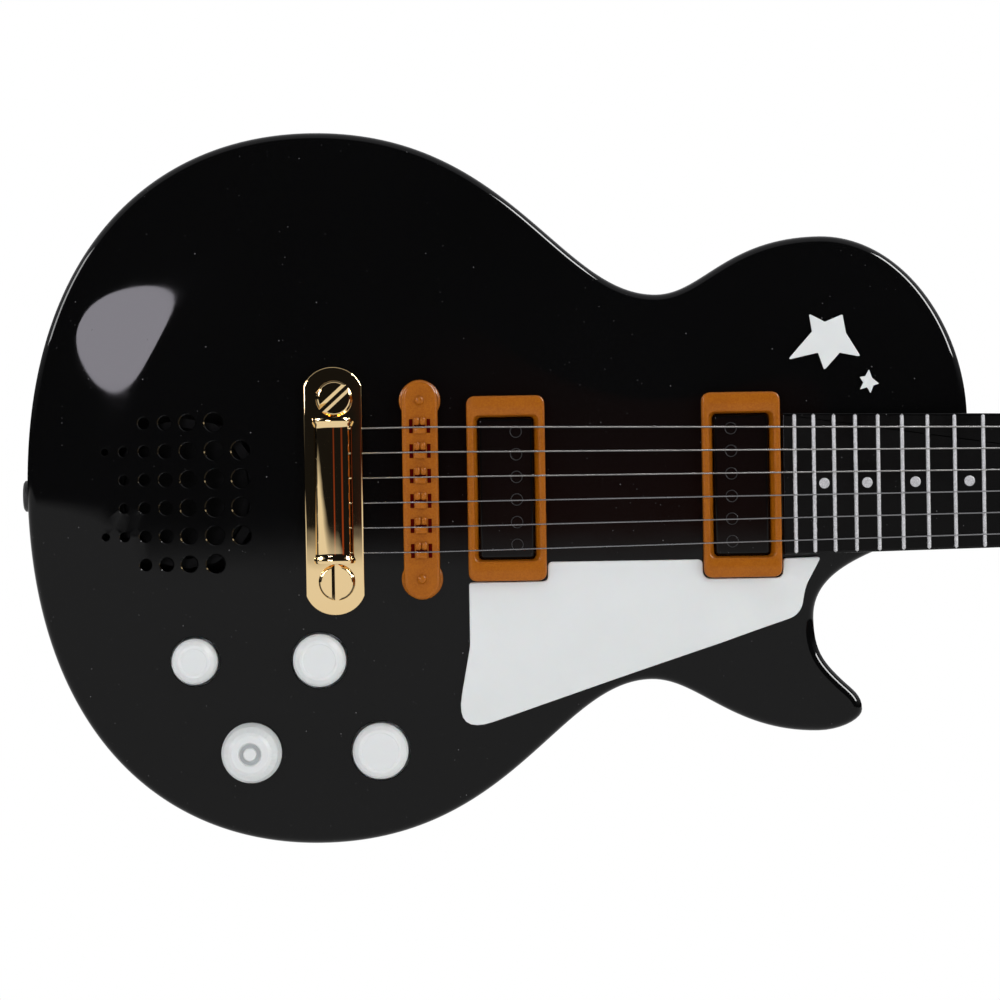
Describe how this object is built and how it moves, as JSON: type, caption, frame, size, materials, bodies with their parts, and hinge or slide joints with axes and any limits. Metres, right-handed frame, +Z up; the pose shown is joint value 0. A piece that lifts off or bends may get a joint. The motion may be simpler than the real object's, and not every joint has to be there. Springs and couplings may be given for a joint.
{
  "type": "toy electric guitar",
  "caption": "Toy electric guitar: hollow two-shell body with press buttons, volume knob, speaker grille and battery bay, fretted neck, strings and geared tuners.",
  "frame": {"origin": "centre of the tail strap button's flat end face", "axes": "+X along the neck toward the headstock, +Y out of the flat back, +Z up toward the bass strings, as the guitar hangs on a player"},
  "size_m": [0.5597, 0.0494, 0.204],
  "materials": {
    "gloss_black": "glossy black moulded plastic",
    "satin_black": "satin black moulded plastic",
    "amber_plastic": "pearly amber plastic",
    "white_plastic": "white moulded plastic",
    "gold_chrome": "plastic with a vacuum-plated gold mirror finish",
    "steel": "plain steel",
    "board_green": "green circuit board",
    "rubber_grey": "grey silicone rubber",
    "cone_paper": "black paper cone",
    "cell_jacket": "printed metal jacket of a dry cell",
    "pearl_cream": "pearly cream plastic"
  },
  "bodies": {
    "guitar_body": {"body_front_shell": "gloss_black", "pickup_cover_bridge": "gloss_black", "pickup_cover_neck": "gloss_black", "fretboard": "gloss_black", "headstock_face": "gloss_black", "body_back_shell": "satin_black", "neck_back_shell": "satin_black", "strap_button_tail": "satin_black", "strap_button_heel": "satin_black", "pickup_frame_bridge": "amber_plastic", "pickup_frame_neck": "amber_plastic", "bridge_bar": "amber_plastic", "bridge_post_bass": "amber_plastic", "bridge_post_treble": "amber_plastic", "pickguard": "white_plastic", "star_inlay_large": "white_plastic", "star_inlay_small": "white_plastic", "tailpiece_plate": "gold_chrome", "tailpiece_cover": "gold_chrome", "tailpiece_screw_bass": "gold_chrome", "tailpiece_screw_treble": "gold_chrome", "string_1": "steel", "string_2": "steel", "string_3": "steel", "string_4": "steel", "string_5": "steel", "string_6": "steel", "case_screw_1": "steel", "case_screw_2": "steel", "case_screw_3": "steel", "case_screw_4": "steel", "neck_screw": "steel", "potentiometer": "steel", "speaker_frame": "steel", "control_board": "board_green", "keypad_mat": "rubber_grey", "speaker_cone": "cone_paper", "battery_cell_1": "cell_jacket", "battery_cell_2": "cell_jacket", "battery_cell_3": "cell_jacket", "nut": "pearl_cream"},
    "rhythm_button_1": {"rhythm_button_1": "white_plastic"},
    "rhythm_button_2": {"rhythm_button_2": "white_plastic"},
    "rhythm_button_3": {"rhythm_button_3": "white_plastic"},
    "volume_control": {"volume_knob": "white_plastic", "volume_shaft": "steel"},
    "battery_hatch": {"battery_door": "satin_black", "battery_door_screw": "steel"},
    "tuner_post_1": {"tuner_post_1": "steel"},
    "tuner_key_1": {"tuner_key_1": "pearl_cream"},
    "tuner_post_2": {"tuner_post_2": "steel"},
    "tuner_key_2": {"tuner_key_2": "pearl_cream"},
    "tuner_post_3": {"tuner_post_3": "steel"},
    "tuner_key_3": {"tuner_key_3": "pearl_cream"},
    "tuner_post_4": {"tuner_post_4": "steel"},
    "tuner_key_4": {"tuner_key_4": "pearl_cream"},
    "tuner_post_5": {"tuner_post_5": "steel"},
    "tuner_key_5": {"tuner_key_5": "pearl_cream"},
    "tuner_post_6": {"tuner_post_6": "steel"},
    "tuner_key_6": {"tuner_key_6": "pearl_cream"}
  },
  "joints": [
    {"name": "rhythm_button_1_press", "type": "slide", "parent": "guitar_body", "child": "rhythm_button_1", "axis": [0, 1, 0], "range_m": [0, 0.0015], "stiffness_N_per_m": 250},
    {"name": "rhythm_button_2_press", "type": "slide", "parent": "guitar_body", "child": "rhythm_button_2", "axis": [0, 1, 0], "range_m": [0, 0.0015], "stiffness_N_per_m": 250},
    {"name": "rhythm_button_3_press", "type": "slide", "parent": "guitar_body", "child": "rhythm_button_3", "axis": [0, 1, 0], "range_m": [0, 0.0015], "stiffness_N_per_m": 250},
    {"name": "volume_turn", "type": "hinge", "parent": "guitar_body", "child": "volume_control", "pos_m": [0.0659, -0.024, -0.0743], "axis": [0, -1, 0], "range_deg": [-140, 140]},
    {"name": "battery_hatch_lift", "type": "slide", "parent": "guitar_body", "child": "battery_hatch", "axis": [0, 1, 0], "range_m": [0, 0.03]},
    {"name": "tuner_key_1_turn", "type": "hinge", "parent": "guitar_body", "child": "tuner_key_1", "pos_m": [0.4853, -0.0065, 0.017], "axis": [0, 0, 1], "range_deg": [-720, 720]},
    {"name": "tuner_post_1_turn", "type": "hinge", "parent": "guitar_body", "child": "tuner_post_1", "pos_m": [0.4802, -0.0065, 0.017], "axis": [0, -1, 0], "range_deg": [-52, 52]},
    {"name": "tuner_key_2_turn", "type": "hinge", "parent": "guitar_body", "child": "tuner_key_2", "pos_m": [0.5103, -0.0065, 0.017], "axis": [0, 0, 1], "range_deg": [-720, 720]},
    {"name": "tuner_post_2_turn", "type": "hinge", "parent": "guitar_body", "child": "tuner_post_2", "pos_m": [0.5052, -0.0065, 0.017], "axis": [0, -1, 0], "range_deg": [-52, 52]},
    {"name": "tuner_key_3_turn", "type": "hinge", "parent": "guitar_body", "child": "tuner_key_3", "pos_m": [0.5353, -0.0065, 0.017], "axis": [0, 0, 1], "range_deg": [-720, 720]},
    {"name": "tuner_post_3_turn", "type": "hinge", "parent": "guitar_body", "child": "tuner_post_3", "pos_m": [0.5302, -0.0065, 0.017], "axis": [0, -1, 0], "range_deg": [-52, 52]},
    {"name": "tuner_key_4_turn", "type": "hinge", "parent": "guitar_body", "child": "tuner_key_4", "pos_m": [0.5353, -0.0065, -0.017], "axis": [0, 0, 1], "range_deg": [-720, 720]},
    {"name": "tuner_post_4_turn", "type": "hinge", "parent": "guitar_body", "child": "tuner_post_4", "pos_m": [0.5302, -0.0065, -0.017], "axis": [0, -1, 0], "range_deg": [-52, 52]},
    {"name": "tuner_key_5_turn", "type": "hinge", "parent": "guitar_body", "child": "tuner_key_5", "pos_m": [0.5103, -0.0065, -0.017], "axis": [0, 0, 1], "range_deg": [-720, 720]},
    {"name": "tuner_post_5_turn", "type": "hinge", "parent": "guitar_body", "child": "tuner_post_5", "pos_m": [0.5052, -0.0065, -0.017], "axis": [0, -1, 0], "range_deg": [-52, 52]},
    {"name": "tuner_key_6_turn", "type": "hinge", "parent": "guitar_body", "child": "tuner_key_6", "pos_m": [0.4853, -0.0065, -0.017], "axis": [0, 0, 1], "range_deg": [-720, 720]},
    {"name": "tuner_post_6_turn", "type": "hinge", "parent": "guitar_body", "child": "tuner_post_6", "pos_m": [0.4802, -0.0065, -0.017], "axis": [0, -1, 0], "range_deg": [-52, 52]}
  ],
  "couplings": [
    {"joint": "tuner_post_1_turn", "follows": "tuner_key_1_turn", "ratio": 0.071429},
    {"joint": "tuner_post_2_turn", "follows": "tuner_key_2_turn", "ratio": 0.071429},
    {"joint": "tuner_post_3_turn", "follows": "tuner_key_3_turn", "ratio": 0.071429},
    {"joint": "tuner_post_4_turn", "follows": "tuner_key_4_turn", "ratio": 0.071429},
    {"joint": "tuner_post_5_turn", "follows": "tuner_key_5_turn", "ratio": 0.071429},
    {"joint": "tuner_post_6_turn", "follows": "tuner_key_6_turn", "ratio": 0.071429}
  ]
}
